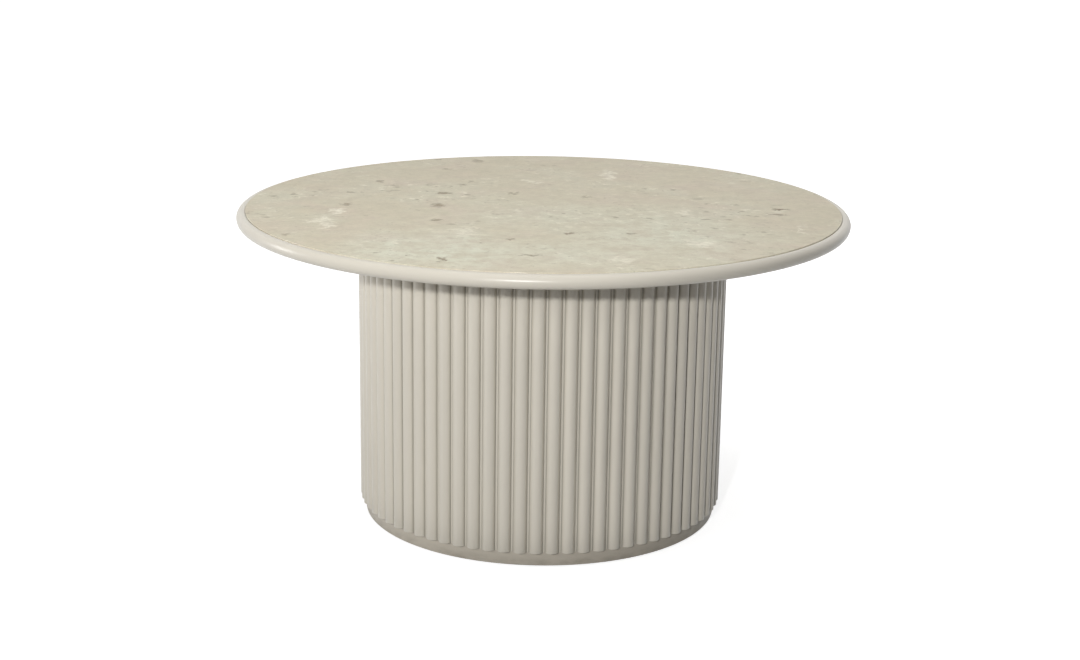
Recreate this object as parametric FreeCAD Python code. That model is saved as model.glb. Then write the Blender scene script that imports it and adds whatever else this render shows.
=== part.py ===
import FreeCAD, Part
import math
import os

# Round cocktail table: a stone disc let into a painted rim, carried by a reeded drum.
# Millimetres, +Z up. The origin is on the floor, on the axis of the table.

# Overall sizes
TABLE_HEIGHT = 460.0
TOP_RADIUS = 445.0
DRUM_RADIUS = 270.7

# Table top
STONE_THICKNESS = 10.0
STONE_PROUD = 1.0
STONE_GAP = 0.4
STONE_ARRIS = 0.6
BEDDING_THICKNESS = 1.5
DAB_RADIUS = 30.0
DAB_EDGE_MARGIN = 62.0
CORE_THICKNESS = 9.0
RIM_LAND = 2.85
RIM_SEGMENTS = 6
TONGUE_THICKNESS = 3.0
TONGUE_DEPTH = 6.0

# Drum
REED_COUNT = 74
REED_DEPTH = 7.5
REED_LAND = 3.0
SKIN_THICKNESS = 5.0
RING_THICKNESS = 18.0
TOP_RING_WIDTH = 65.0
MIDDLE_RING_WIDTH = 50.0
BASE_RING_WIDTH = 75.0
UPRIGHT_COUNT = 6
UPRIGHT_THICKNESS = 18.0
UPRIGHT_WIDTH = 45.0

# Plinth
FLOOR_GAP = 2.0
PLINTH_HEIGHT = 19.7
PLINTH_INSET = 8.0
PLINTH_WIDTH = 55.0
PLINTH_ARRIS = 1.0

# Wood screws
SCREW_RADIUS = 2.25
SCREW_HEAD_RADIUS = 4.5
SCREW_HEAD_HEIGHT = 2.8
UPRIGHT_SCREW_BITE = 32.0
UPRIGHT_SCREW_SPREAD = 22.0
PLINTH_SCREW_BITE = 14.0

# Bolts that hold the top on the drum
BOLT_RADIUS = 3.0
BOLT_HEAD_FLATS = 10.0
BOLT_HEAD_HEIGHT = 4.0
BOLT_TIP_GAP = 1.0
BOLT_INSERT_WALL = 2.0
BOLT_INSERT_COVER = 1.0
WASHER_THICKNESS = 1.6
WASHER_WIDTH = 3.0

# Levelling feet
FOOT_COUNT = 4
FOOT_TRAVEL = 10.0
STUD_RADIUS = 4.0
STUD_HEX_FLATS = 13.0
STUD_BALL_EXTRA = 1.0
STUD_BALL_HEIGHT = 3.0
STUD_TIP_CHAMFER = 1.0
PAD_RADIUS = 15.0
PAD_THICKNESS = 4.0
PAD_ARRIS = 1.0
PAD_FLOOR = 3.0
BOSS_WALL = 3.0
BOSS_HEIGHT = 6.0
NUT_WALL = 1.5
NUT_END_MARGIN = 2.0
FLANGE_WIDTH = 6.0
FLANGE_THICKNESS = 1.6

# Clearances
GLUE_GAP = 0.1
SCREW_FIT = 0.1
BOLT_CLEARANCE = 0.3
RUNNING_FIT = 0.05
STOP_GAP = 0.2
FLANGE_CLEARANCE = 1.0
PAD_CLEARANCE = 3.0
SEAM_GAP = 0.3

# Heights of the table top, from the stone down
stone_bottom = TABLE_HEIGHT - STONE_THICKNESS
core_top = stone_bottom - BEDDING_THICKNESS
core_bottom = core_top - CORE_THICKNESS
core_middle = (core_top + core_bottom) / 2
rim_top = TABLE_HEIGHT - STONE_PROUD
rim_round = (rim_top - core_bottom) / 2

# Radii of the table top, from the rim inwards
rim_round_centre = TOP_RADIUS - rim_round
rim_inner = rim_round_centre - RIM_LAND
stone_radius = rim_inner - STONE_GAP
core_radius = rim_inner - GLUE_GAP
bedding_radius = stone_radius - DAB_EDGE_MARGIN

# Drum: the reeds share the circle, so their width follows from their count and the land between them
reed_back = DRUM_RADIUS - REED_DEPTH
reed_half_width = reed_back * math.sin(math.pi / REED_COUNT) - REED_LAND / 2
skin_inner = reed_back - SKIN_THICKNESS
ring_radius = skin_inner - GLUE_GAP
drum_top = core_bottom
drum_bottom = FLOOR_GAP + PLINTH_HEIGHT
drum_height = drum_top - drum_bottom
base_ring_top = drum_bottom + RING_THICKNESS
top_ring_bottom = drum_top - RING_THICKNESS
middle_ring_bottom = (base_ring_top + top_ring_bottom - RING_THICKNESS) / 2
upright_inner = ring_radius - UPRIGHT_WIDTH
upright_middle = ring_radius - UPRIGHT_WIDTH / 2
plinth_radius = DRUM_RADIUS - PLINTH_INSET
plinth_middle = plinth_radius - PLINTH_WIDTH / 2
bolt_circle = ring_radius - TOP_RING_WIDTH / 2

# Levelling feet: heights from the floor up
boss_top = PAD_THICKNESS + BOSS_HEIGHT
boss_radius = STUD_RADIUS + STUD_BALL_EXTRA + BOSS_WALL
flange_bottom = drum_bottom - FLANGE_THICKNESS
flange_radius = STUD_RADIUS + NUT_WALL + FLANGE_WIDTH
nut_top = base_ring_top - NUT_END_MARGIN
stud_top = nut_top + FOOT_TRAVEL + NUT_END_MARGIN

# Directions round the axis, in degrees from +X
upright_angles = [360.0 * k / UPRIGHT_COUNT for k in range(UPRIGHT_COUNT)]
between_uprights = [angle + 180.0 / UPRIGHT_COUNT for angle in upright_angles]
foot_angles = [360.0 * (k + 0.5) / FOOT_COUNT for k in range(FOOT_COUNT)]
FRONT = -90.0

Z_AXIS = FreeCAD.Vector(0, 0, 1)
ORIGIN = FreeCAD.Vector(0, 0, 0)


def at(radius, height):
    return FreeCAD.Vector(radius, 0, height)


def section(*points):
    """Face in the XZ plane through (radius, height) corners."""
    corners = [at(*point) for point in points]
    return Part.Face(Part.makePolygon(corners + corners[:1]))


def turned(*points, angle=360.0):
    return section(*points).revolve(ORIGIN, Z_AXIS, angle)


def rod(radius, bottom, top):
    return Part.makeCylinder(radius, top - bottom, at(0, bottom))


def tube(outer, inner, bottom, top, angle=360.0):
    return turned((inner, bottom), (outer, bottom), (outer, top), (inner, top), angle=angle)


def hexagon(flats, bottom, top):
    corner = flats / math.sqrt(3)
    turns = [math.radians(60 * k) for k in range(7)]
    corners = [FreeCAD.Vector(corner * math.cos(t), corner * math.sin(t), bottom) for t in turns]
    return Part.Face(Part.makePolygon(corners)).extrude(Z_AXIS * (top - bottom))


def spun(shape, angle):
    copy = shape.copy()
    copy.rotate(ORIGIN, Z_AXIS, angle)
    return copy


def round_axis(shape, radius, angles):
    """Copies of a shape made on the axis, moved out to a radius at each angle."""
    moved = shape.translated(at(radius, 0))
    return [spun(moved, angle) for angle in angles]


def save(shape, name):
    shape.exportStep("parts/" + name + ".step")


def save_group(shapes, name):
    save(Part.makeCompound(shapes), name)


# Fasteners, each made on the axis with the hole that receives it

def screw(head, tip, margin=0.0):
    """Countersunk screw from the face of its head to its tip, up or down."""
    way = 1 if tip > head else -1
    shank = SCREW_RADIUS + margin
    rim = SCREW_HEAD_RADIUS + margin
    neck = head + way * SCREW_HEAD_HEIGHT
    return turned((0, head), (rim, head), (shank, neck), (shank, tip), (0, tip))


def upright_screw_spots(shape):
    """Two screws side by side into the end of each upright."""
    inner = round_axis(shape, upright_middle - UPRIGHT_SCREW_SPREAD / 2, upright_angles)
    outer = round_axis(shape, upright_middle + UPRIGHT_SCREW_SPREAD / 2, upright_angles)
    return inner + outer


top_screw_ends = (drum_top, top_ring_bottom - UPRIGHT_SCREW_BITE)
base_screw_ends = (drum_bottom, base_ring_top + UPRIGHT_SCREW_BITE)
plinth_screw_ends = (FLOOR_GAP, drum_bottom + PLINTH_SCREW_BITE)
top_screws = upright_screw_spots(screw(*top_screw_ends))
top_screw_holes = upright_screw_spots(screw(*top_screw_ends, margin=SCREW_FIT))
base_screws = upright_screw_spots(screw(*base_screw_ends))
base_screw_holes = upright_screw_spots(screw(*base_screw_ends, margin=SCREW_FIT))
plinth_screws = round_axis(screw(*plinth_screw_ends), plinth_middle, between_uprights)
plinth_screw_hole = screw(*plinth_screw_ends, margin=SCREW_FIT)
plinth_screw_holes = round_axis(plinth_screw_hole, plinth_middle, between_uprights)
save_group(top_screws, "upright_top_screws")
save_group(base_screws, "upright_base_screws")
save_group(plinth_screws, "plinth_screws")

insert_radius = BOLT_RADIUS + BOLT_INSERT_WALL
insert_top = core_top - BOLT_INSERT_COVER
insert_bore = BOLT_RADIUS + RUNNING_FIT
washer_bottom = top_ring_bottom - WASHER_THICKNESS
washer_bore = BOLT_RADIUS + BOLT_CLEARANCE
bolt_tip = insert_top - BOLT_TIP_GAP
bolt_shank = rod(BOLT_RADIUS, washer_bottom, bolt_tip)
bolt_head = hexagon(BOLT_HEAD_FLATS, washer_bottom - BOLT_HEAD_HEIGHT, washer_bottom)
bolt = bolt_shank.fuse(bolt_head).removeSplitter()
washer = tube(washer_bore + WASHER_WIDTH, washer_bore, washer_bottom, top_ring_bottom)
bolt_insert = tube(insert_radius, insert_bore, core_bottom, insert_top)
insert_hole = rod(insert_radius + SCREW_FIT, core_bottom, insert_top)
bolt_hole = rod(washer_bore, top_ring_bottom, drum_top)
save_group(round_axis(bolt, bolt_circle, between_uprights), "top_bolts")
save_group(round_axis(washer, bolt_circle, between_uprights), "top_bolt_washers")
save_group(round_axis(bolt_insert, bolt_circle, between_uprights), "top_bolt_inserts")


# Table top

def stone_disc():
    return turned((0, stone_bottom), (stone_radius, stone_bottom),
                  (stone_radius, TABLE_HEIGHT - STONE_ARRIS),
                  (stone_radius - STONE_ARRIS, TABLE_HEIGHT), (0, TABLE_HEIGHT))


def bedding_dabs():
    """Dabs of silicone: one in the middle, then a ring of six and a ring of twelve."""
    dab = rod(DAB_RADIUS, core_top, stone_bottom)
    dabs = [dab]
    for ring in (1, 2):
        count = 6 * ring
        dabs += round_axis(dab, bedding_radius * ring / 2, [360.0 * k / count for k in range(count)])
    return dabs


def top_core():
    """Board under the stone, grooved round its edge for the tongue of the rim."""
    groove_half = TONGUE_THICKNESS / 2 + GLUE_GAP
    groove_radius = rim_inner - TONGUE_DEPTH - GLUE_GAP
    board = turned((0, core_bottom), (core_radius, core_bottom),
                   (core_radius, core_middle - groove_half), (groove_radius, core_middle - groove_half),
                   (groove_radius, core_middle + groove_half), (core_radius, core_middle + groove_half),
                   (core_radius, core_top), (0, core_top))
    return board.cut(round_axis(insert_hole, bolt_circle, between_uprights))


def rim_segment(number):
    """Length of half-round edging with a tongue along its inner face."""
    tongue_inner = rim_inner - TONGUE_DEPTH
    tongue_bottom = core_middle - TONGUE_THICKNESS / 2
    tongue_top = core_middle + TONGUE_THICKNESS / 2
    corners = [at(rim_round_centre, rim_top), at(rim_inner, rim_top),
               at(rim_inner, tongue_top), at(tongue_inner, tongue_top),
               at(tongue_inner, tongue_bottom), at(rim_inner, tongue_bottom),
               at(rim_inner, core_bottom), at(rim_round_centre, core_bottom)]
    edges = Part.makePolygon(corners).Edges
    nose = at(TOP_RADIUS, core_bottom + rim_round)
    edges.append(Part.Arc(corners[-1], nose, corners[0]).toShape())
    joint_angle = math.degrees(GLUE_GAP / rim_inner)
    step = 360.0 / RIM_SEGMENTS
    length = Part.Face(Part.Wire(edges)).revolve(ORIGIN, Z_AXIS, step - joint_angle)
    return spun(length, number * step + joint_angle / 2)


save(stone_disc(), "stone_top")
save_group(bedding_dabs(), "stone_bedding")
save(top_core(), "top_core")
for number in range(RIM_SEGMENTS):
    save(rim_segment(number), "rim_segment_%d" % (number + 1))


# Drum

def reed():
    """Round-faced moulding with its flat back on the skin, facing +X."""
    back = at(reed_back, drum_bottom)
    side = FreeCAD.Vector(0, reed_half_width, 0)
    crest = at(DRUM_RADIUS, drum_bottom)
    outline = [Part.LineSegment(back + side, back - side).toShape(),
               Part.Arc(back - side, crest, back + side).toShape()]
    return Part.Face(Part.Wire(outline)).extrude(Z_AXIS * drum_height)


def reed_group(first, last):
    """Reeds by number, counted from the one that faces the front."""
    moulding = reed()
    return [spun(moulding, FRONT + 360.0 * k / REED_COUNT) for k in range(first, last)]


def skin_half(start):
    """Bent sheet over half of the drum, seamed on the uprights at the two sides."""
    seam_angle = math.degrees(SEAM_GAP / skin_inner)
    sheet = tube(reed_back, skin_inner, drum_bottom, drum_top, angle=180.0 - seam_angle)
    return spun(sheet, start + seam_angle / 2)


def upright_box(inner, outer, bottom, top, margin=0.0):
    """Block on the +X side, as thick as an upright."""
    width = UPRIGHT_THICKNESS + 2 * margin
    corner = FreeCAD.Vector(inner, -width / 2, bottom)
    return Part.makeBox(outer - inner, width, top - bottom, corner)


def upright():
    """Post under the skin, halved over the middle ring and screwed at both ends."""
    block = upright_box(upright_inner, ring_radius, base_ring_top, top_ring_bottom)
    post = block.common(rod(ring_radius, base_ring_top, top_ring_bottom))
    halving = upright_box(upright_inner, upright_middle + GLUE_GAP, middle_ring_bottom - GLUE_GAP,
                          middle_ring_bottom + RING_THICKNESS + GLUE_GAP)
    return post.cut([halving] + top_screw_holes + base_screw_holes)


def top_ring():
    board = tube(ring_radius, ring_radius - TOP_RING_WIDTH, top_ring_bottom, drum_top)
    return board.cut(round_axis(bolt_hole, bolt_circle, between_uprights) + top_screw_holes)


def middle_ring():
    bottom = middle_ring_bottom
    top = bottom + RING_THICKNESS
    board = tube(ring_radius, ring_radius - MIDDLE_RING_WIDTH, bottom, top)
    halving = upright_box(upright_middle, DRUM_RADIUS, bottom, top, margin=GLUE_GAP)
    return board.cut([spun(halving, angle) for angle in upright_angles])


def base_ring():
    board = tube(ring_radius, ring_radius - BASE_RING_WIDTH, drum_bottom, base_ring_top)
    nut_hole = rod(STUD_RADIUS + NUT_WALL + SCREW_FIT, drum_bottom, base_ring_top)
    nut_holes = round_axis(nut_hole, plinth_middle, foot_angles)
    return board.cut(nut_holes + base_screw_holes + plinth_screw_holes)


save_group(reed_group(-(REED_COUNT // 4), REED_COUNT // 2 - REED_COUNT // 4), "reeds_front")
save_group(reed_group(REED_COUNT // 2 - REED_COUNT // 4, REED_COUNT - REED_COUNT // 4), "reeds_back")
save(skin_half(180.0), "drum_skin_front")
save(skin_half(0.0), "drum_skin_back")
save(top_ring(), "drum_top_ring")
save(middle_ring(), "drum_middle_ring")
save(base_ring(), "drum_base_ring")
post_blank = upright()
for number, angle in enumerate(upright_angles):
    save(spun(post_blank, angle), "upright_%d" % (number + 1))


# Plinth and levelling feet

def plinth():
    """Ring under the drum, drilled from below for the feet and the screws."""
    inner = plinth_radius - PLINTH_WIDTH
    ring = turned((inner, FLOOR_GAP), (plinth_radius - PLINTH_ARRIS, FLOOR_GAP),
                  (plinth_radius, FLOOR_GAP + PLINTH_ARRIS), (plinth_radius, drum_bottom),
                  (inner, drum_bottom))
    pad_recess = rod(PAD_RADIUS + PAD_CLEARANCE, FLOOR_GAP, PAD_THICKNESS + PAD_CLEARANCE)
    flange_hole = rod(flange_radius + FLANGE_CLEARANCE, FLOOR_GAP, drum_bottom)
    foot_hole = pad_recess.fuse(flange_hole)
    return ring.cut(round_axis(foot_hole, plinth_middle, foot_angles) + plinth_screw_holes)


def foot_nut():
    """Flanged insert nut, driven into the base ring from below."""
    barrel = STUD_RADIUS + NUT_WALL
    bore = STUD_RADIUS + RUNNING_FIT
    return turned((bore, flange_bottom), (flange_radius, flange_bottom), (flange_radius, drum_bottom),
                  (barrel, drum_bottom), (barrel, nut_top), (bore, nut_top))


def foot_stud():
    """Threaded stud: ball end in the pad, hexagon for the spanner, thread in the nut."""
    ball = STUD_RADIUS + STUD_BALL_EXTRA
    ball_bottom = PAD_FLOOR + STOP_GAP
    ball_top = ball_bottom + STUD_BALL_HEIGHT
    stem = turned((0, ball_bottom), (ball, ball_bottom), (ball, ball_top), (STUD_RADIUS, ball_top),
                  (STUD_RADIUS, stud_top - STUD_TIP_CHAMFER),
                  (STUD_RADIUS - STUD_TIP_CHAMFER, stud_top), (0, stud_top))
    spanner_hex = hexagon(STUD_HEX_FLATS, boss_top + STOP_GAP, flange_bottom - STOP_GAP)
    return stem.fuse(spanner_hex).removeSplitter()


def foot_pad():
    """Moulded pad with a boss whose undercut socket keeps the ball end in."""
    socket = STUD_RADIUS + STUD_BALL_EXTRA + RUNNING_FIT
    socket_top = PAD_FLOOR + STUD_BALL_HEIGHT + 2 * STOP_GAP
    neck = STUD_RADIUS + RUNNING_FIT
    return turned((0, 0), (PAD_RADIUS - PAD_ARRIS, 0), (PAD_RADIUS, PAD_ARRIS),
                  (PAD_RADIUS, PAD_THICKNESS - PAD_ARRIS), (PAD_RADIUS - PAD_ARRIS, PAD_THICKNESS),
                  (boss_radius, PAD_THICKNESS), (boss_radius, boss_top), (neck, boss_top),
                  (neck, socket_top), (socket, socket_top), (socket, PAD_FLOOR), (0, PAD_FLOOR))


save(plinth(), "plinth_ring")
save_group(round_axis(foot_nut(), plinth_middle, foot_angles), "foot_insert_nuts")
studs = round_axis(foot_stud(), plinth_middle, foot_angles)
pads = round_axis(foot_pad(), plinth_middle, foot_angles)
for number in range(FOOT_COUNT):
    save(studs[number], "foot_stud_%d" % (number + 1))
    save(pads[number], "foot_pad_%d" % (number + 1))
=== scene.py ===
import math
import random

import bmesh
import bpy
from mathutils import Matrix, Vector


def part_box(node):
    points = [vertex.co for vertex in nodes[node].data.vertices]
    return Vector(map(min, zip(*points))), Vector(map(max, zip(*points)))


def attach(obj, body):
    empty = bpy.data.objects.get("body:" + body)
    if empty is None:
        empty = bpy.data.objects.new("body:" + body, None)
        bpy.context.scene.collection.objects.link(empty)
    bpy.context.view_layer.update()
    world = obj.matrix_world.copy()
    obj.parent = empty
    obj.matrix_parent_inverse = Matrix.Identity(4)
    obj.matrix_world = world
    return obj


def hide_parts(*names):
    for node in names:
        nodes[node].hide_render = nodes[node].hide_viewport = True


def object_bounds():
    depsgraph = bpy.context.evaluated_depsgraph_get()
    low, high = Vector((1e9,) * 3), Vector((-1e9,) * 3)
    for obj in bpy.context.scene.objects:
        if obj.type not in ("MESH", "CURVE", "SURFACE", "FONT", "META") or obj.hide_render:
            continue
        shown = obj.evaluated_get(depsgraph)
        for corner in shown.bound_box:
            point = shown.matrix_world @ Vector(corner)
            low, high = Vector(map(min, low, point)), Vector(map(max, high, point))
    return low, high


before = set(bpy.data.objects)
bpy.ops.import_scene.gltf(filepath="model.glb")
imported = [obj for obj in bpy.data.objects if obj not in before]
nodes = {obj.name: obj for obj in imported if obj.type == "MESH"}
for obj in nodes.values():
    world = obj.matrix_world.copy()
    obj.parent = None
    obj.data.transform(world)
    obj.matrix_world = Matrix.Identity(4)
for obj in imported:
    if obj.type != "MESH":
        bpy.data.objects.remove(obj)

cad_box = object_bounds()


# Drum rings and uprights
# Birch plywood, 18 mm thick. The rings are routed from the sheet and the uprights are ripped from it,
# halved over the middle ring, glued and screwed at both ends. All of it is left bare inside the drum.

RINGS = ["drum_top_ring", "drum_middle_ring", "drum_base_ring"]
UPRIGHTS = ["upright_%d" % k for k in range(1, 7)]
MIX_SHARE, MIX_FIRST, MIX_SECOND, MIX_COLOUR = 0, 6, 7, 2


def srgb(red, green, blue):
    """Linear colour from the 0 to 255 values of a colour card."""
    def linear(level):
        share = level / 255
        return share / 12.92 if share <= 0.04045 else ((share + 0.055) / 1.055) ** 2.4
    return (linear(red), linear(green), linear(blue), 1.0)


def connect(tree, socket, value):
    """Feeds a socket from another socket, or sets it to a plain value."""
    if isinstance(value, bpy.types.NodeSocket):
        tree.links.new(value, socket)
    else:
        socket.default_value = value


def put(tree, kind, settings=None, **inputs):
    """Adds a node. Each input is a value or a socket, named as in Blender with _ for a space."""
    node = tree.nodes.new("ShaderNode" + kind)
    for key, value in (settings or {}).items():
        setattr(node, key, value)
    for key, value in inputs.items():
        connect(tree, node.inputs[key.replace("_", " ")], value)
    return node


def maths(tree, operation, *values):
    node = put(tree, "Math", {"operation": operation})
    for socket, value in zip(node.inputs, values):
        connect(tree, socket, value)
    return node.outputs[0]


def spread(tree, value, low, high, to_low=0.0, to_high=1.0):
    """Maps a value from one range to another and keeps it there."""
    node = put(tree, "MapRange", Value=value, From_Min=low, From_Max=high, To_Min=to_low, To_Max=to_high)
    return node.outputs[0]


def blend(tree, share, first, second):
    """Mixes two colours, by the places of the colour sockets on a Mix node."""
    node = put(tree, "Mix", {"data_type": "RGBA"})
    for socket, value in ((MIX_SHARE, share), (MIX_FIRST, first), (MIX_SECOND, second)):
        connect(tree, node.inputs[socket], value)
    return node.outputs[MIX_COLOUR]


def stretched(tree, vector, x, y, z):
    return put(tree, "Mapping", Vector=vector, Scale=(x, y, z)).outputs[0]


def noise(tree, vector, scale, detail=2.0, roughness=0.5):
    node = put(tree, "TexNoise", Vector=vector, Scale=scale, Detail=detail, Roughness=roughness)
    return node.outputs[0]


def new_material(name):
    """Material with its tree, its shader and the place on the object in metres."""
    material = bpy.data.materials.new(name)
    material.use_nodes = True
    tree = material.node_tree
    shader = tree.nodes["Principled BSDF"]
    place = put(tree, "TexCoord").outputs["Object"]
    return material, tree, shader, place


def new_group(name, inputs, outputs):
    """Shader node group with its two ends. Sockets are (name, kind, default) and (name, kind)."""
    group = bpy.data.node_groups.new(name, "ShaderNodeTree")
    for label, kind, default in inputs:
        socket = group.interface.new_socket(label, in_out="INPUT", socket_type="NodeSocket" + kind)
        if default is not None:
            socket.default_value = default
    for label, kind in outputs:
        group.interface.new_socket(label, in_out="OUTPUT", socket_type="NodeSocket" + kind)
    start = group.nodes.new("NodeGroupInput")
    end = group.nodes.new("NodeGroupOutput")
    return group, start.outputs, end.inputs


def use_group(tree, group, **inputs):
    return put(tree, "Group", {"node_tree": group}, **inputs).outputs


def relief(tree, shader, height, depth):
    """Bump of a depth in metres on the shader."""
    node = put(tree, "Bump", Height=height, Distance=depth, Strength=1.0)
    tree.links.new(node.outputs[0], shader.inputs["Normal"])


def wear(material, *names):
    """Gives CAD nodes a material."""
    for name in names:
        slots = nodes[name].data.materials
        slots.clear()
        slots.append(material)
        for polygon in nodes[name].data.polygons:
            polygon.material_index = 0


def make_wood_grain():
    """Fine fibres and slow colour drift along the first axis of the place given."""
    group, given, out = new_group(
        "wood grain",
        [("Place", "Vector", None), ("Fibre Scale", "Float", 300.0), ("Drift Scale", "Float", 6.0)],
        [("Fibre", "Float"), ("Drift", "Float")])
    along = stretched(group, given["Place"], 0.03, 1.0, 1.0)
    fibre = noise(group, along, given["Fibre Scale"], 4.0, 0.65)
    bands = stretched(group, given["Place"], 0.25, 1.0, 1.0)
    drift = noise(group, bands, given["Drift Scale"], 3.0, 0.55)
    group.links.new(fibre, out["Fibre"])
    group.links.new(drift, out["Drift"])
    return group


WOOD_GRAIN = make_wood_grain()
VENEER = 0.0014
BIRCH_DEEP = srgb(214, 184, 140)
BIRCH_PALE = srgb(232, 208, 168)
BIRCH_FIBRE = srgb(178, 140, 96)
BIRCH_LONG_PLY = srgb(222, 194, 150)
BIRCH_CROSS_PLY = srgb(158, 116, 74)
BIRCH_END_FIBRE = srgb(132, 92, 56)
BIRCH_FIBRE_SCALE = 420.0
BIRCH_DRIFT_SCALE = 9.0
BIRCH_END_SCALE = 700.0
BIRCH_ROUGHNESS = (0.62, 0.78)
BIRCH_FIBRE_DEPTH = 0.0002


def plywood(name, ply_axis, grain_turn):
    """Birch faces with the veneers showing as light and dark layers across ply_axis."""
    material, tree, shader, place = new_material(name)
    turned = put(tree, "Mapping", Vector=place, Rotation=grain_turn).outputs[0]
    grain = use_group(tree, WOOD_GRAIN, Place=turned,
                      Fibre_Scale=BIRCH_FIBRE_SCALE, Drift_Scale=BIRCH_DRIFT_SCALE)
    face = blend(tree, grain["Drift"], BIRCH_DEEP, BIRCH_PALE)
    face = blend(tree, spread(tree, grain["Fibre"], 0.35, 0.75, 0.0, 0.35), face, BIRCH_FIBRE)

    axes = put(tree, "SeparateXYZ", Vector=place).outputs
    facing = put(tree, "SeparateXYZ", Vector=put(tree, "NewGeometry").outputs["Normal"]).outputs
    layer = maths(tree, "FRACT", maths(tree, "DIVIDE", axes[ply_axis], 2 * VENEER))
    cross_ply = maths(tree, "GREATER_THAN", layer, 0.5)
    edge = blend(tree, cross_ply, BIRCH_LONG_PLY, BIRCH_CROSS_PLY)
    end_fibre = noise(tree, stretched(tree, place, 1.0, 1.0, 4.0), BIRCH_END_SCALE, 3.0)
    edge = blend(tree, spread(tree, end_fibre, 0.4, 0.7, 0.0, 0.4), edge, BIRCH_END_FIBRE)
    on_edge = maths(tree, "LESS_THAN", maths(tree, "ABSOLUTE", facing[ply_axis]), 0.5)

    roughness = spread(tree, grain["Fibre"], 0.3, 0.7, *BIRCH_ROUGHNESS)
    tree.links.new(blend(tree, on_edge, face, edge), shader.inputs["Base Color"])
    tree.links.new(roughness, shader.inputs["Roughness"])
    relief(tree, shader, grain["Fibre"], BIRCH_FIBRE_DEPTH)
    return material


wear(plywood("birch board", "Z", (0, 0, 0)), *RINGS)
for number, name in enumerate(UPRIGHTS):
    turn = math.radians(360 / len(UPRIGHTS) * number)
    wear(plywood("birch upright %d" % (number + 1), "Y", (0, math.pi / 2, -turn)), name)


# Drum skin
# Two sheets of 5 mm bending plywood, wrapped round the rings and uprights and glued to them.
# Their grain runs up the drum, and only their inner faces can be seen, from below.

SKINS = ["drum_skin_front", "drum_skin_back"]
SKIN_DEEP = srgb(186, 146, 104)
SKIN_PALE = srgb(212, 176, 134)
SKIN_FIBRE = srgb(140, 98, 62)
SKIN_FIBRE_SCALE = 300.0
SKIN_DRIFT_SCALE = 14.0
SKIN_ROUGHNESS = (0.66, 0.82)
SKIN_FIBRE_DEPTH = 0.0003


def bending_plywood():
    material, tree, shader, place = new_material("bending plywood")
    upright = put(tree, "Mapping", Vector=place, Rotation=(0, math.pi / 2, 0)).outputs[0]
    grain = use_group(tree, WOOD_GRAIN, Place=upright,
                      Fibre_Scale=SKIN_FIBRE_SCALE, Drift_Scale=SKIN_DRIFT_SCALE)
    tone = blend(tree, grain["Drift"], SKIN_DEEP, SKIN_PALE)
    tone = blend(tree, spread(tree, grain["Fibre"], 0.4, 0.75, 0.0, 0.45), tone, SKIN_FIBRE)
    roughness = spread(tree, grain["Fibre"], 0.3, 0.7, *SKIN_ROUGHNESS)
    tree.links.new(tone, shader.inputs["Base Color"])
    tree.links.new(roughness, shader.inputs["Roughness"])
    relief(tree, shader, grain["Fibre"], SKIN_FIBRE_DEPTH)
    return material


wear(bending_plywood(), *SKINS)


# Reeds
# Round-faced hardwood mouldings glued on the skin with a narrow flat land between them, then sprayed
# as one with satin lacquer. The lacquer fills the corners at the foot of each reed a little.

REED_COUNT = 74
REED_LAND = 0.003
REED_FACE_STEPS = 20
REED_HEIGHT_STEPS = 16
REED_SHARP_ANGLE = 40.0
REED_END_EASE = 0.0008
REED_END_SHARE = 0.3
REED_WANDER = 0.00010
WANDER_WAVE = 9.0
WANDER_SHIFT = 6.0
FILM = 0.0001
FOOT_FILLET = 0.0002
SKIRT_PLACES = (0.2, 0.5)
SKIRT_RISES = (0.15, 0.03)
CREASE_FADE = [0.1, 0.6, 1.0, 0.6, 0.1]
LACQUER = srgb(206, 200, 187)
LACQUER_SHADES = (0.96, 1.03)
LACQUER_CLOUD_SCALE = 9.0
LACQUER_DRIFT_SCALE = 4.0
PEEL_SCALE = 650.0
PEEL_DEPTH = 0.00003
REED_SHEEN = 0.6
REED_GLOSS = (0.28, 0.35)
REED_TONES = (0.98, 1.02)
HOLLOW_START = 0.6
# Painted shade: how much the colour is darkened in the reeds' hollows
HOLLOW_PAINTED_SHADE = 0.05
HOLLOW_DULLING = 0.12
# Painted shade: how much more the colour is darkened in the corners at the reeds' feet
CREASE_PAINTED_SHADE = 0.38
# Painted shade: the reeds' colour is darkened over their lowest few centimetres, towards the floor
NEAR_FLOOR_PAINTED_SHADE = 0.03
NEAR_FLOOR_SHADE_HEIGHT = 0.05

drum_low, drum_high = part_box("reeds_front")
crest_radius = -drum_low.y
skin_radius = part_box("drum_skin_back")[1].y
reed_depth = crest_radius - skin_radius
reed_pitch = 2 * math.pi / REED_COUNT
reed_half = skin_radius * math.sin(reed_pitch / 2) - REED_LAND / 2


def make_handling():
    """Cloudy unevenness of a finish: faint smears that change its gloss."""
    group, given, out = new_group(
        "handling marks",
        [("Place", "Vector", None), ("Scale", "Float", 20.0), ("Low", "Float", 0.3), ("High", "Float", 0.5)],
        [("Gloss", "Float"), ("Cloud", "Float")])
    cloud = noise(group, given["Place"], given["Scale"], 4.0, 0.6)
    gloss = spread(group, cloud, 0.3, 0.7, given["Low"], given["High"])
    group.links.new(gloss, out["Gloss"])
    group.links.new(cloud, out["Cloud"])
    return group


HANDLING = make_handling()


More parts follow.
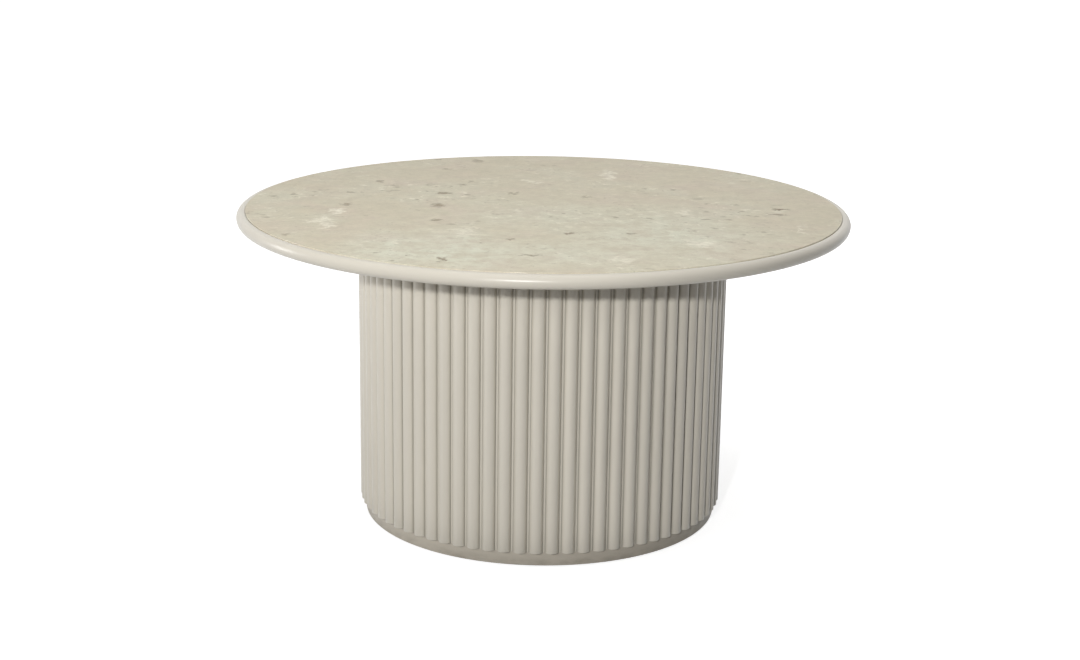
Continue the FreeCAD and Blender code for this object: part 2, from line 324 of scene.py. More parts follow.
def make_lacquer_skin():
    """Sprayed lacquer: slow drift of shade, fine orange peel and an uneven satin gloss."""
    group, given, out = new_group(
        "sprayed lacquer",
        [("Place", "Vector", None), ("Colour", "Color", LACQUER),
         ("Low", "Float", 0.3), ("High", "Float", 0.5)],
        [("Colour", "Color"), ("Gloss", "Float"), ("Peel", "Float")])
    handling = use_group(group, HANDLING, Place=given["Place"], Scale=LACQUER_CLOUD_SCALE,
                         Low=given["Low"], High=given["High"])
    drift = noise(group, given["Place"], LACQUER_DRIFT_SCALE, 3.0)
    shade = spread(group, drift, 0.3, 0.7, *LACQUER_SHADES)
    tint = put(group, "HueSaturation", Color=given["Colour"], Value=shade).outputs[0]
    peel = noise(group, given["Place"], PEEL_SCALE)
    group.links.new(tint, out["Colour"])
    group.links.new(handling["Gloss"], out["Gloss"])
    group.links.new(peel, out["Peel"])
    return group


LACQUER_SKIN = make_lacquer_skin()


def new_lacquer(name, colour, gloss, sheen):
    """Material of sprayed lacquer whose colour and gloss are still to be linked, with its skin."""
    material, tree, shader, place = new_material(name)
    shader.inputs["Specular IOR Level"].default_value = sheen
    skin = use_group(tree, LACQUER_SKIN, Place=place, Colour=colour, Low=gloss[0], High=gloss[1])
    relief(tree, shader, skin["Peel"], PEEL_DEPTH)
    return material, tree, shader, place, skin


def mesh_object(name, build):
    """New object whose mesh is made by a function that is given an empty bmesh."""
    form = bmesh.new()
    build(form)
    bmesh.ops.recalc_face_normals(form, faces=form.faces)
    mesh = bpy.data.meshes.new(name)
    form.to_mesh(mesh)
    form.free()
    made = bpy.data.objects.new(name, mesh)
    bpy.context.scene.collection.objects.link(made)
    return made


def soften(made, angle=35.0):
    """Smooth shading, broken at edges sharper than the angle."""
    made.data.set_sharp_from_angle(angle=math.radians(angle))
    for polygon in made.data.polygons:
        polygon.use_smooth = True


def finish_piece(made, material, body, slot, *replaced):
    """Gives a piece its material and the body it rides on, and hides the CAD nodes it stands for. The slot
    is not used.
    """
    made.data.materials.append(material)
    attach(made, body)
    if replaced:
        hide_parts(*replaced)


def reed_section():
    """Points across one reed as (angle, radius, crease), from the middle of one land to just short of
    the next. The crease is 1 in the corner at the reed's foot and 0 away from it, and sets the painted shade
    there."""
    face_radius = (reed_half ** 2 + reed_depth ** 2) / (2 * reed_depth)
    face_span = math.asin(reed_half / face_radius)
    floor = skin_radius + FILM
    face = []
    for step in range(REED_FACE_STEPS + 1):
        turn = face_span * (2 * step / REED_FACE_STEPS - 1)
        across = face_radius * math.sin(turn)
        out = skin_radius + reed_depth - face_radius * (1 - math.cos(turn))
        rise = math.hypot(across, out) - floor
        face.append((math.atan2(across, out), floor + (rise + math.hypot(rise, FOOT_FILLET)) / 2))
    foot = face[-1][0]
    right = [(foot + place * (reed_pitch / 2 - foot), floor + FOOT_FILLET * rise)
             for place, rise in zip(SKIRT_PLACES, SKIRT_RISES)]
    left = [(-angle, radius) for angle, radius in reversed(right)]
    points = [(-reed_pitch / 2, floor)] + left + face + right
    plain = [0.0] * (REED_FACE_STEPS - len(CREASE_FADE))
    creases = [0.0] + CREASE_FADE + plain + CREASE_FADE
    return [(*point, crease) for point, crease in zip(points, creases)]


def reed_shell(form, first, last):
    """Closed shell of the reeds from first to last and the lands between them, with its back on the skin."""
    dice = random.Random(first)
    section = reed_section()
    outline = []
    for number in range(first, last):
        wander = dice.uniform(-REED_WANDER, REED_WANDER)
        tone = dice.random()
        outline += [(number * reed_pitch + angle, radius, crease, wander, tone)
                    for angle, radius, crease in section]
    end_angle, end_radius, end_crease = section[0]
    outline.append((last * reed_pitch + end_angle, end_radius, end_crease, 0.0, outline[-1][4]))
    bottom, top = drum_low.z, drum_high.z
    heights = [bottom + (top - bottom) * k / REED_HEIGHT_STEPS for k in range(REED_HEIGHT_STEPS + 1)]
    heights[1:1] = [bottom + REED_END_EASE * share for share in (REED_END_SHARE, 1.0)]
    insets = [REED_END_EASE, REED_END_SHARE * REED_END_EASE] + [0.0] * (len(heights) - 2)
    tones = form.verts.layers.float.new("reed_tone")
    hollows = form.verts.layers.float.new("reed_hollow")
    # The crease values place the painted shade in the corners at the reeds' feet
    creases = form.verts.layers.float.new("reed_crease")

    def point(reach, angle, height, tone, crease):
        vertex = form.verts.new((reach * math.sin(angle), -reach * math.cos(angle), height))
        vertex[tones] = tone
        vertex[creases] = crease
        vertex[hollows] = min(1.0, max(0.0, (crest_radius - reach) / reed_depth))
        return vertex

    def row(height, inset):
        made = []
        for angle, radius, crease, wander, tone in outline:
            bulge = (radius - skin_radius) / reed_depth
            sway = wander * bulge * math.sin(height * WANDER_WAVE + tone * WANDER_SHIFT)
            reach = min(max(radius - inset + sway, skin_radius), crest_radius)
            made.append(point(reach, angle, height, tone, crease))
        return made

    front = [row(height, inset) for height, inset in zip(heights, insets)]
    back_steps = 2 * (last - first)
    span = outline[-1][0] - outline[0][0]
    back_angles = [outline[0][0] + span * k / back_steps for k in range(back_steps + 1)]
    back = [[point(skin_radius, angle, height, 0.5, 0.0) for angle in back_angles]
            for height in (bottom, top)]
    for low, high in zip(front, front[1:]):
        for k in range(len(outline) - 1):
            form.faces.new((low[k], low[k + 1], high[k + 1], high[k]))
    for k in range(back_steps):
        form.faces.new((back[0][k + 1], back[0][k], back[1][k], back[1][k + 1]))
    form.faces.new(list(reversed(front[0])) + back[0])
    form.faces.new(front[-1] + list(reversed(back[1])))
    for k, order in ((0, 1), (-1, -1)):
        side = [edge[k] for edge in front]
        form.faces.new((side + [back[1][k], back[0][k]])[::order])


def reed_lacquer():
    """The lacquer with a little difference from reed to reed and duller in the hollows, with painted shade
    in the hollows and, darker, in the corners at their feet, and a little painted shade towards the floor."""
    material, tree, shader, place, skin = new_lacquer("reed lacquer", LACQUER, REED_GLOSS, REED_SHEEN)
    tone, hollow, crease = [put(tree, "Attribute", {"attribute_name": name}).outputs["Fac"]
                            for name in ("reed_tone", "reed_hollow", "reed_crease")]
    height = put(tree, "SeparateXYZ", Vector=place).outputs["Z"]
    # Painted shade: the colour is darkened in the hollows and more in the corners at the reeds' feet, where
    # shade falls
    painted_hollow_shade = spread(tree, hollow, HOLLOW_START, 1.0, 0.0, HOLLOW_PAINTED_SHADE)
    painted_groove_shade = maths(tree, "MULTIPLY_ADD", crease, CREASE_PAINTED_SHADE, painted_hollow_shade)
    # Painted shade, darker towards the floor
    painted_floor_shade = spread(tree, height, drum_low.z, drum_low.z + NEAR_FLOOR_SHADE_HEIGHT, NEAR_FLOOR_PAINTED_SHADE, 0.0)
    own_shade = spread(tree, tone, 0.0, 1.0, *REED_TONES)
    shade = maths(tree, "SUBTRACT", own_shade, maths(tree, "ADD", painted_groove_shade, painted_floor_shade))
    colour = put(tree, "HueSaturation", Color=skin["Colour"], Value=shade).outputs[0]
    dulling = spread(tree, hollow, HOLLOW_START, 1.0, 0.0, HOLLOW_DULLING)
    tree.links.new(colour, shader.inputs["Base Color"])
    tree.links.new(maths(tree, "ADD", skin["Gloss"], dulling), shader.inputs["Roughness"])
    return material


reed_finish = reed_lacquer()
half = REED_COUNT // 2
quarter = REED_COUNT // 4
for name, first in (("reeds_front", -quarter), ("reeds_back", half - quarter)):
    shell = mesh_object("painted_" + name, lambda form: reed_shell(form, first, first + half))
    soften(shell, REED_SHARP_ANGLE)
    finish_piece(shell, reed_finish, "table", "lacquer", name)


# Plinth
# Ring of board under the drum, set back from the reeds and sprayed with the lacquer, painted darker here as
# shade.
# It is screwed up into the base ring and drilled from below for the feet. Shoes and mops scuff its foot.

# Painted shade: the reeds' lacquer made darker to stand for the shade at the foot of the drum
PLINTH_LACQUER_WITH_PAINTED_SHADE = srgb(188, 181, 168)
PLINTH_GLOSS = (0.34, 0.44)
SATIN = 0.25
SCUFF = srgb(132, 124, 110)
SCUFF_HEIGHT = 0.016
SCUFF_SCALE = 45.0
SCUFF_STRENGTH = (0.15, 0.7)
SCUFF_DULLING = 0.2

plinth_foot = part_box("plinth_ring")[0].z


def scuffed_lacquer():
    """The plinth's lacquer with a broken line of scuffs above its lower edge."""
    material, tree, shader, place, skin = new_lacquer("plinth lacquer", PLINTH_LACQUER_WITH_PAINTED_SHADE, PLINTH_GLOSS, SATIN)
    height = put(tree, "SeparateXYZ", Vector=place).outputs["Z"]
    low = spread(tree, height, plinth_foot, plinth_foot + SCUFF_HEIGHT, 1.0, 0.0)
    streaks = noise(tree, stretched(tree, place, 1.0, 1.0, 3.0), SCUFF_SCALE, 5.0, 0.65)
    marks = maths(tree, "MULTIPLY", low, spread(tree, streaks, 0.4, 0.7, *SCUFF_STRENGTH))
    gloss = maths(tree, "ADD", skin["Gloss"], maths(tree, "MULTIPLY", marks, SCUFF_DULLING))
    tree.links.new(blend(tree, marks, skin["Colour"], SCUFF), shader.inputs["Base Color"])
    tree.links.new(gloss, shader.inputs["Roughness"])
    return material


wear(scuffed_lacquer(), "plinth_ring")


# Levelling feet
# Zinc-plated studs in flanged insert nuts under the base ring, each with a nylon pad snapped on its ball
# end. Turning the hexagon raises or lowers the pad. The screws of the drum and plinth are plated too.

ZINC = srgb(176, 178, 180), srgb(206, 206, 200)
ZINC_GLOSS = (0.28, 0.42)
NYLON = srgb(34, 34, 35), srgb(50, 50, 50)
NYLON_GLOSS = (0.42, 0.6)
TURNED_DEPTH = 0.00002
NYLON_DEPTH = 0.00004


def clouded(name, tones, gloss, scale, metallic=0.0):
    """Material whose shade and gloss change in clouds, with its tree, shader, place and clouds."""
    material, tree, shader, place = new_material(name)
    shader.inputs["Metallic"].default_value = metallic
    handling = use_group(tree, HANDLING, Place=place, Scale=scale, Low=gloss[0], High=gloss[1])
    tree.links.new(blend(tree, handling["Cloud"], *tones), shader.inputs["Base Color"])
    tree.links.new(handling["Gloss"], shader.inputs["Roughness"])
    return material, tree, shader, place, handling["Cloud"]


def plated_steel():
    material, tree, shader, place, _ = clouded("zinc plated steel", ZINC, ZINC_GLOSS, 90.0, 1.0)
    relief(tree, shader, noise(tree, stretched(tree, place, 1, 1, 9), 900.0), TURNED_DEPTH)
    return material


def nylon():
    material, tree, shader, place, _ = clouded("moulded nylon", NYLON, NYLON_GLOSS, 120.0)
    relief(tree, shader, noise(tree, place, 2200.0), NYLON_DEPTH)
    return material


steel = plated_steel()
pad_nylon = nylon()
wear(steel, "foot_insert_nuts", "plinth_screws", "upright_top_screws", "upright_base_screws")
for number in range(1, 5):
    wear(steel, "foot_stud_%d" % number)
    wear(pad_nylon, "foot_pad_%d" % number)


# Board under the stone
# A plywood disc, grooved round its edge for the rim and sprayed underneath with a thin coat of the
# lacquer. Bolts from inside the drum run up into brass inserts in it.

UNDERSIDE_LACQUER = srgb(198, 191, 177)
UNDERSIDE_GLOSS = (0.46, 0.6)
BRASS = srgb(196, 160, 92), srgb(222, 190, 120)
BRASS_GLOSS = (0.28, 0.4)


def lacquer(name, colour, gloss, sheen):
    material, tree, shader, _, skin = new_lacquer(name, colour, gloss, sheen)
    tree.links.new(skin["Colour"], shader.inputs["Base Color"])
    tree.links.new(skin["Gloss"], shader.inputs["Roughness"])
    return material


def brass():
    material, tree, shader, place, _ = clouded("turned brass", BRASS, BRASS_GLOSS, 150.0, 1.0)
    relief(tree, shader, noise(tree, stretched(tree, place, 1, 1, 12), 1200.0), TURNED_DEPTH)
    return material


wear(lacquer("underside lacquer", UNDERSIDE_LACQUER, UNDERSIDE_GLOSS, SATIN), "top_core")
wear(brass(), "top_bolt_inserts")
wear(steel, "top_bolts", "top_bolt_washers")


# Rim
# Half-round hardwood edging in six lengths, tongued into the board, then filled, sanded and sprayed.
# The lacquer hides its joints, so it reads as one ring round the stone.

RIM_LENGTHS = ["rim_segment_%d" % k for k in range(1, 7)]
RIM_STEPS = 360
RIM_NOSE_STEPS = 28
RIM_ARRIS = 0.0015
RIM_ARRIS_STEPS = 6
RIM_SHEEN = 0.42
RIM_GLOSS = (0.28, 0.34)
GLUE_LINE = 0.0001

rim_low, rim_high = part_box("rim_segment_1")
top_radius = min(cad_box[1].x, cad_box[1].y)
rim_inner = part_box("top_core")[1].x + GLUE_LINE
rim_nose = (rim_high.z - rim_low.z) / 2


def lathe(form, profile, steps):
    """Turns a closed outline of (radius, height) points once round the axis."""
    rows = []
    for step in range(steps):
        turn = 2 * math.pi * step / steps
        rows.append([form.verts.new((r * math.cos(turn), r * math.sin(turn), z)) for r, z in profile])
    count = len(profile)
    for first, second in zip(rows, rows[1:] + rows[:1]):
        for k in range(count):
            after = (k + 1) % count
            form.faces.new((first[k], second[k], second[after], first[after]))


def arc(centre_r, centre_z, radius, start, end, steps):
    """Points of an arc in the turning plane, with angles in degrees from outwards."""
    turns = [math.radians(start + (end - start) * k / steps) for k in range(steps + 1)]
    return [(centre_r + radius * math.cos(t), centre_z + radius * math.sin(t)) for t in turns]


rim_profile = [(rim_inner, rim_low.z)]
rim_profile += arc(top_radius - rim_nose, rim_low.z + rim_nose, rim_nose, -90, 90, RIM_NOSE_STEPS)
rim_profile += arc(rim_inner + RIM_ARRIS, rim_high.z - RIM_ARRIS, RIM_ARRIS, 90, 180, RIM_ARRIS_STEPS)
rim = mesh_object("painted_rim", lambda form: lathe(form, rim_profile, RIM_STEPS))
soften(rim)
rim_finish = lacquer("rim lacquer", LACQUER, RIM_GLOSS, RIM_SHEEN)
finish_piece(rim, rim_finish, "table", "lacquer", *RIM_LENGTHS)


# Bedding
# Dabs of grey silicone, laid on the board before the stone goes down on it.
# They hold the stone and take up its small unevenness.

SILICONE = srgb(186, 186, 180), srgb(210, 209, 203)
SILICONE_GLOSS = (0.4, 0.55)
SILICONE_DEPTH = 0.0002


def silicone():
    material, tree, shader, _, cloud = clouded("cured silicone", SILICONE, SILICONE_GLOSS, 60.0)
    relief(tree, shader, cloud, SILICONE_DEPTH)
    return material


bead_silicone = silicone()
wear(bead_silicone, "stone_bedding")


# Stone top
# A 10 mm disc of honed beige limestone with pale clouds, white patches and short grey flecks. Its edge is
# eased and polished and stands a little above the rim, and a bead of silicone seals the gap between them.

STONE_STEPS = 360
STONE_EASE = 0.0005
STONE_EASE_STEPS = 5
STONE_EDGE_GLOSS = 0.2
STONE_SHEEN = 0.3
STONE_ROUGHNESS = (0.62, 0.74)
STONE_FLECK_DULLING = 0.1
STONE_PITTING = 0.00006
STONE_WARM = srgb(205, 197, 176)
STONE_ROSE = srgb(206, 194, 177)
STONE_PALE = srgb(214, 214, 196)
STONE_WHITE = srgb(238, 233, 216)
STONE_FLECK = srgb(144, 132, 113)
DRIFT_SCALE = 6.0
BLUSH_SCALE = 10.0
CRUMB_SCALE = 34.0
GRIT_SCALE = 110.0
FLAKE_SCALE = 70.0
SPECKLE_SCALE = 420.0
SEAL_DEPTH = 0.006
SEAL_DROP = 0.0012
SEAL_CLEAR = 0.00002

# Finer flecks strewn over the stone as (scale, noise where they start, noise where they are full)
STREWN_FLECKS = [(46.0, 0.61, 0.70), (100.0, 0.62, 0.72)]

# Marks of this slab as (x, y, half width, half depth, strength), in metres from the middle
PALE_CLOUDS = [
    (-0.12, -0.32, 0.16, 0.12, 0.9), (0.17, -0.20, 0.15, 0.18, 0.75),
    (0.03, -0.31, 0.20, 0.12, 0.55), (0.02, -0.06, 0.20, 0.14, 0.35),
]
WHITE_PATCHES = [
    (-0.294, -0.068, 0.013, 0.026, 0.9), (-0.303, -0.120, 0.012, 0.026, 0.8),
    (-0.318, -0.140, 0.010, 0.016, 0.6), (-0.297, -0.168, 0.010, 0.024, 0.8),
    (0.098, 0.264, 0.012, 0.052, 0.75), (-0.024, 0.190, 0.013, 0.014, 0.6),
    (0.215, -0.244, 0.023, 0.023, 0.7), (0.108, -0.352, 0.013, 0.032, 0.6),
    (-0.103, -0.196, 0.018, 0.034, 0.45), (0.205, -0.030, 0.013, 0.027, 0.5),
    (0.342, -0.020, 0.010, 0.010, 0.5), (0.362, -0.147, 0.004, 0.044, 0.6),
]
GREY_FLECKS = [
    (-0.152, 0.083, 0.009, 0.013, 0.8), (-0.155, -0.010, 0.010, 0.014, 0.75),
    (-0.049, 0.093, 0.008, 0.010, 0.65), (0.347, 0.002, 0.012, 0.006, 1.0),
    (0.338, -0.038, 0.012, 0.007, 0.7), (0.039, -0.196, 0.008, 0.007, 0.9),
    (-0.122, -0.367, 0.005, 0.013, 0.9), (-0.149, -0.117, 0.008, 0.008, 0.7),
    (-0.287, -0.015, 0.007, 0.010, 0.7), (-0.257, 0.171, 0.006, 0.010, 0.7),
    (-0.129, 0.153, 0.007, 0.008, 0.65), (-0.117, 0.372, 0.010, 0.013, 0.6),
    (-0.010, -0.333, 0.014, 0.006, 0.75), (0.122, -0.191, 0.007, 0.008, 0.7),
    (-0.044, -0.235, 0.008, 0.005, 0.75), (-0.342, -0.230, 0.008, 0.008, 0.55),
    (0.061, 0.073, 0.006, 0.011, 0.5), (-0.163, 0.288, 0.007, 0.010, 0.5),
]

stone_low, stone_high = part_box("stone_top")


def vector_maths(tree, operation, *values):
    """Maths on vectors. LENGTH gives a number, and the rest give a vector."""
    node = put(tree, "VectorMath", {"operation": operation})
    for socket, value in zip(node.inputs, values):
        connect(tree, socket, value)
    return node.outputs["Value" if operation == "LENGTH" else "Vector"]


def make_slab_mark():
    """How far a place is from the middle of a mark, where 1 is the mark's edge."""
    group, given, out = new_group(
        "slab mark",
        [("Place", "Vector", None), ("Centre", "Vector", None), ("Size", "Vector", (0.1, 0.1, 1.0))],
        [("Reach", "Float")])
    away = vector_maths(group, "SUBTRACT", given["Place"], given["Centre"])
    shared = vector_maths(group, "DIVIDE", away, given["Size"])
    group.links.new(vector_maths(group, "LENGTH", shared), out["Reach"])
    return group


SLAB_MARK = make_slab_mark()


def warped(tree, place, scale, push):
    """The place pushed about by noise, so that what is drawn on it gets ragged edges."""
    stir = put(tree, "TexNoise", Vector=place, Scale=scale, Detail=4.0, Roughness=0.6).outputs["Color"]
    centred = vector_maths(tree, "SUBTRACT", stir, (0.5, 0.5, 0.5))
    return vector_maths(tree, "MULTIPLY_ADD", centred, (push, push, 0.0), place)


def slab_marks(tree, place, marks, core, edge):
    """Mask of a list of marks, full inside the share core of their size and gone at the share edge."""
    mask = None
    for x, y, width, depth, strength in marks:
        mark = use_group(tree, SLAB_MARK, Place=place, Centre=(x, y, 0.0), Size=(width, depth, 1.0))
        one = spread(tree, mark["Reach"], core, edge, strength, 0.0)
        mask = one if mask is None else maths(tree, "MAXIMUM", mask, one)
    return mask


def limestone():
    """Layers of colour from the ground of the stone up to its flecks, all drawn on the level of the top."""
    material, tree, shader, place = new_material("honed limestone")
    shader.inputs["Specular IOR Level"].default_value = STONE_SHEEN
    level = stretched(tree, place, 1.0, 1.0, 0.0)
    flow = warped(tree, level, 9.0, 0.12)

    # Warm ground that drifts to pale and blushes
    drift = noise(tree, flow, DRIFT_SCALE, 5.0, 0.6)
    tone = blend(tree, spread(tree, drift, 0.45, 0.68, 0.0, 0.4), STONE_WARM, STONE_PALE)
    blush = noise(tree, stretched(tree, flow, -1.0, 1.0, 1.0), BLUSH_SCALE, 4.0, 0.55)
    tone = blend(tree, spread(tree, blush, 0.48, 0.66, 0.0, 0.6), tone, STONE_ROSE)

    # Pale clouds, broken up by crumbs
    crumb = noise(tree, warped(tree, level, 40.0, 0.03), CRUMB_SCALE, 6.0, 0.7)
    clouds = slab_marks(tree, warped(tree, level, 12.0, 0.22), PALE_CLOUDS, 0.2, 1.15)
    clouds = maths(tree, "MULTIPLY", clouds, spread(tree, crumb, 0.40, 0.56, 0.2, 1.0))
    tone = blend(tree, clouds, tone, STONE_PALE)

    # White patches, broken up by grit, and small white flakes in groups
    grit = noise(tree, level, GRIT_SCALE, 5.0, 0.65)
    chalk = slab_marks(tree, warped(tree, level, 48.0, 0.07), WHITE_PATCHES, 0.5, 1.2)
    chalk = maths(tree, "MULTIPLY", chalk, spread(tree, grit, 0.40, 0.54, 0.35, 1.0))
    flakes = noise(tree, warped(tree, level, 60.0, 0.02), FLAKE_SCALE, 3.0, 0.6)
    groups = spread(tree, noise(tree, level, DRIFT_SCALE), 0.42, 0.58)
    flakes = maths(tree, "MULTIPLY", spread(tree, flakes, 0.58, 0.68, 0.0, 0.55), groups)
    tone = blend(tree, maths(tree, "MAXIMUM", chalk, flakes), tone, STONE_WHITE)

    # Mottle over all of it
    coarse = spread(tree, crumb, 0.38, 0.62, -0.045, 0.045)
    fine = spread(tree, grit, 0.38, 0.62, 0.97, 1.03)
    tone = put(tree, "HueSaturation", Color=tone, Value=maths(tree, "ADD", coarse, fine)).outputs[0]

    # Grey flecks, those of this slab and the strewn ones, and the speckle of the grain
    flecks = slab_marks(tree, warped(tree, level, 90.0, 0.04), GREY_FLECKS, 0.5, 1.25)
    for scale, start, full in STREWN_FLECKS:
        spots = noise(tree, stretched(tree, level, 0.8, 1.0, 1.0), scale, 3.0, 0.6)
        where = spread(tree, noise(tree, level, scale / 8.0), 0.46, 0.60, 0.05, 0.7)
        strewn = maths(tree, "MULTIPLY", spread(tree, spots, start, full), where)
        flecks = maths(tree, "MAXIMUM", flecks, strewn)
    tone = blend(tree, flecks, tone, STONE_FLECK)
    speckle = noise(tree, level, SPECKLE_SCALE, 3.0, 0.7)
    tone = blend(tree, spread(tree, speckle, 0.5, 0.8, 0.0, 0.2), tone, STONE_FLECK)
    tree.links.new(tone, shader.inputs["Base Color"])

    # Honed face, polished edge and shallow pits at the flecks
    handling = use_group(tree, HANDLING, Place=level, Scale=14.0,
                         Low=STONE_ROUGHNESS[0], High=STONE_ROUGHNESS[1])
    honed = maths(tree, "ADD", handling["Gloss"], maths(tree, "MULTIPLY", flecks, STONE_FLECK_DULLING))
    normal = put(tree, "NewGeometry").outputs["Normal"]
    facing = put(tree, "SeparateXYZ", Vector=normal).outputs["Z"]
    top = spread(tree, facing, 0.9, 0.99)
    tree.links.new(spread(tree, top, 0.0, 1.0, STONE_EDGE_GLOSS, honed), shader.inputs["Roughness"])
    pits = maths(tree, "SUBTRACT", maths(tree, "MULTIPLY", speckle, 0.2), flecks)
    relief(tree, shader, pits, STONE_PITTING)
    return material


stone_edge = [(stone_high.x, stone_low.z)]
stone_edge += arc(stone_high.x - STONE_EASE, stone_high.z - STONE_EASE, STONE_EASE, 0, 90, STONE_EASE_STEPS)


def stone_disc(form):
    """Turned disc whose two faces close on one point each."""
    rows = []
    bottom = form.verts.new((0, 0, stone_low.z))
    top = form.verts.new((0, 0, stone_high.z))
    for step in range(STONE_STEPS):
        turn = 2 * math.pi * step / STONE_STEPS
        rows.append([form.verts.new((r * math.cos(turn), r * math.sin(turn), z)) for r, z in stone_edge])
    for first, second in zip(rows, rows[1:] + rows[:1]):
        form.faces.new((bottom, second[0], first[0]))
        form.faces.new((top, first[-1], second[-1]))
        for k in range(len(stone_edge) - 1):
            form.faces.new((first[k], second[k], second[k + 1], first[k + 1]))


seal_inner = stone_high.x + SEAL_CLEAR
seal_outer = rim_inner - SEAL_CLEAR
seal_top = rim_high.z - SEAL_DROP
seal_foot = seal_top - SEAL_DEPTH
seal_dip = ((seal_inner + seal_outer) / 2, seal_top - (seal_outer - seal_inner) / 3)
seal_profile = [(seal_inner, seal_foot), (seal_outer, seal_foot), (seal_outer, seal_top), seal_dip,
                (seal_inner, seal_top)]
seal = mesh_object("edge_seal", lambda form: lathe(form, seal_profile, STONE_STEPS))
soften(seal)
finish_piece(seal, bead_silicone, "table", "silicone")

stone = mesh_object("stone_disc", stone_disc)
soften(stone)
finish_piece(stone, limestone(), "table", "stone", "stone_top")


# Floor and light
# A plain pale floor, clear from below so that the feet show. A compact spot beside the camera fades out at
# the foot of the drum, with two soft boxes on the left, one behind on the right and a large one overhead.

FLOOR_SIZE = 30.0
FLOOR_TONE = srgb(186, 186, 186)
FLOOR_ROUGHNESS = 0.9
FLOOR_REACH = (0.45, 1.6)
FLOOR_LIFT = (0.82, 1.0)
WHITE = (1.0, 1.0, 1.0, 1.0)
CAMERA_AZIMUTH = 0.93
AIM_HEIGHT = 0.27
SPOT = {"name": "key_spot", "azimuth": -7.5, "elevation": 18.2, "distance": 2.9, "watts": 157.0}
SPOT_RADIUS = 0.05
SPOT_CONE = 60.0
SPOT_BLEND = 0.19
SPOT_TILT = 2.8
BOXES = [
    {"name": "left_box", "azimuth": -46.0, "elevation": 18.0, "distance": 2.4, "watts": 14.0,
     "size": (1.6, 0.4), "mirrored": False},
    {"name": "side_box", "azimuth": -98.0, "elevation": 9.0, "distance": 2.4, "watts": 9.5,
     "size": (0.4, 0.8), "mirrored": True},
    {"name": "back_box", "azimuth": 150.0, "elevation": 12.0, "distance": 2.6, "watts": 15.0,
     "size": (2.0, 1.2), "mirrored": False},
    {"name": "overhead_box", "azimuth": 0.0, "elevation": 90.0, "distance": 2.6, "watts": 49.5,
     "size": (2.4, 2.4), "mirrored": False},
]


def floor_plane(form):
    half = FLOOR_SIZE / 2
    corners = [(-half, -half, 0), (half, -half, 0), (half, half, 0), (-half, half, 0)]
    form.faces.new([form.verts.new(corner) for corner in corners])


def looked_at(tree):
    """Is 1 for the camera and for what gloss and glass show, and 0 for light that falls on the table."""
    seen = put(tree, "LightPath").outputs
    shown = maths(tree, "MAXIMUM", seen["Is Camera Ray"], seen["Is Glossy Ray"])
    return maths(tree, "MAXIMUM", shown, seen["Is Transmission Ray"])


def pale_floor():
    """Grey to the light and white to the eye, a little less white round the table."""
    material, tree, shader, place = new_material("pale floor")
    shader.inputs["Base Color"].default_value = FLOOR_TONE
    shader.inputs["Roughness"].default_value = FLOOR_ROUGHNESS
    shader.inputs["Emission Color"].default_value = WHITE
    lift = spread(tree, vector_maths(tree, "LENGTH", place), *FLOOR_REACH, *FLOOR_LIFT)
    tree.links.new(maths(tree, "MULTIPLY", looked_at(tree), lift), shader.inputs["Emission Strength"])
    below = put(tree, "NewGeometry").outputs["Backfacing"]
    tree.links.new(maths(tree, "SUBTRACT", 1.0, below), shader.inputs["Alpha"])
    return material


def lamp(light, azimuth, elevation, distance, watts):
    """Hangs a light in its place, aimed at the middle of the table. Azimuth counts from the camera."""
    turn = math.radians(CAMERA_AZIMUTH + azimuth)
    rise = math.radians(elevation)
    away = Vector((math.sin(turn) * math.cos(rise), -math.cos(turn) * math.cos(rise), math.sin(rise)))
    light.energy = watts
    made = bpy.data.objects.new(light.name, light)
    bpy.context.scene.collection.objects.link(made)
    made.location = away * distance + Vector((0, 0, AIM_HEIGHT))
    made.rotation_euler = away.to_track_quat("Z", "Y").to_euler()
    return made


def soft_box(name, size, mirrored, **place):
    """Rectangular lamp. One that isn't mirrored leaves no image of itself in the gloss."""
    light = bpy.data.lights.new(name, "AREA")
    light.shape = "RECTANGLE"
    light.size, light.size_y = size
    lamp(light, **place).visible_glossy = mirrored


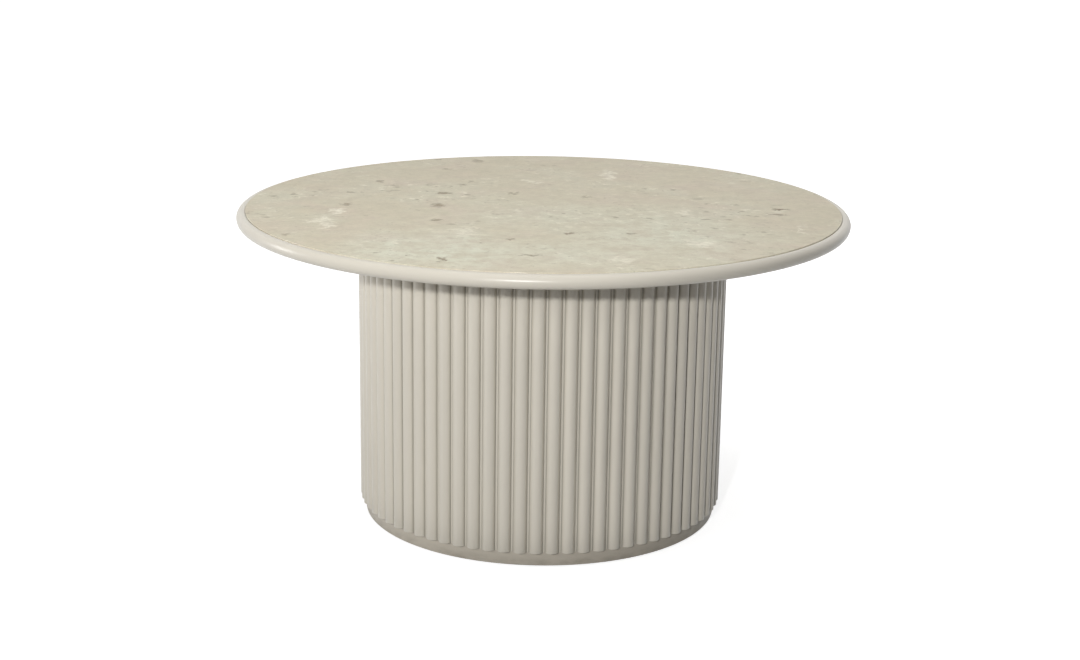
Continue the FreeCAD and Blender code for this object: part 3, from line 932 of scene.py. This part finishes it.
def key_spot(name, **place):
    """Compact spot, tilted up so that the lower edge of its cone fades out at the foot of the drum."""
    light = bpy.data.lights.new(name, "SPOT")
    light.shadow_soft_size = SPOT_RADIUS
    light.spot_size = math.radians(SPOT_CONE)
    light.spot_blend = SPOT_BLEND
    made = lamp(light, **place)
    level = made.location * -1
    level.z = made.location.to_2d().length * math.tan(math.radians(SPOT_TILT))
    made.rotation_euler = level.to_track_quat("-Z", "Y").to_euler()


floor = mesh_object("floor", floor_plane)
floor.data.materials.append(pale_floor())

world = bpy.data.worlds.new("studio")
bpy.context.scene.world = world
world.use_nodes = True
backdrop = world.node_tree.nodes["Background"].inputs
backdrop["Color"].default_value = WHITE
world.node_tree.links.new(looked_at(world.node_tree), backdrop["Strength"])

key_spot(**SPOT)
for details in BOXES:
    soft_box(**details)


# Camera
# At the photograph's viewing angle, about 15 degrees above the table and nearly square to it.
# The focal length is given in pixels of the photograph's own width.

CAMERA_DISTANCE = 2.7832
CAMERA_PITCH = 14.935
CAMERA_YAW = -0.061
CAMERA_ROLL = -0.809
CAMERA_AIM = 0.2713
FOCAL_PIXELS = 1868.4
IMAGE_WIDTH = 1080
SENSOR = 36.0

camera = bpy.data.objects.new("camera", bpy.data.cameras.new("camera"))
bpy.context.scene.collection.objects.link(camera)
camera.data.sensor_width = SENSOR
camera.data.lens = SENSOR * FOCAL_PIXELS / IMAGE_WIDTH
pitch = math.radians(CAMERA_PITCH)
back = Vector((0, -math.cos(pitch), math.sin(pitch))) * CAMERA_DISTANCE + Vector((0, 0, CAMERA_AIM))
look = Matrix.Rotation(math.radians(-CAMERA_YAW), 4, "Z")
look @= Matrix.Rotation(math.pi / 2 - pitch, 4, "X")
look @= Matrix.Rotation(math.radians(-CAMERA_ROLL), 4, "Z")
round_table = Matrix.Rotation(math.radians(CAMERA_AZIMUTH), 4, "Z")
camera.matrix_world = round_table @ Matrix.Translation(back) @ look
bpy.context.scene.camera = camera
bpy.context.scene.view_settings.view_transform = "Standard"
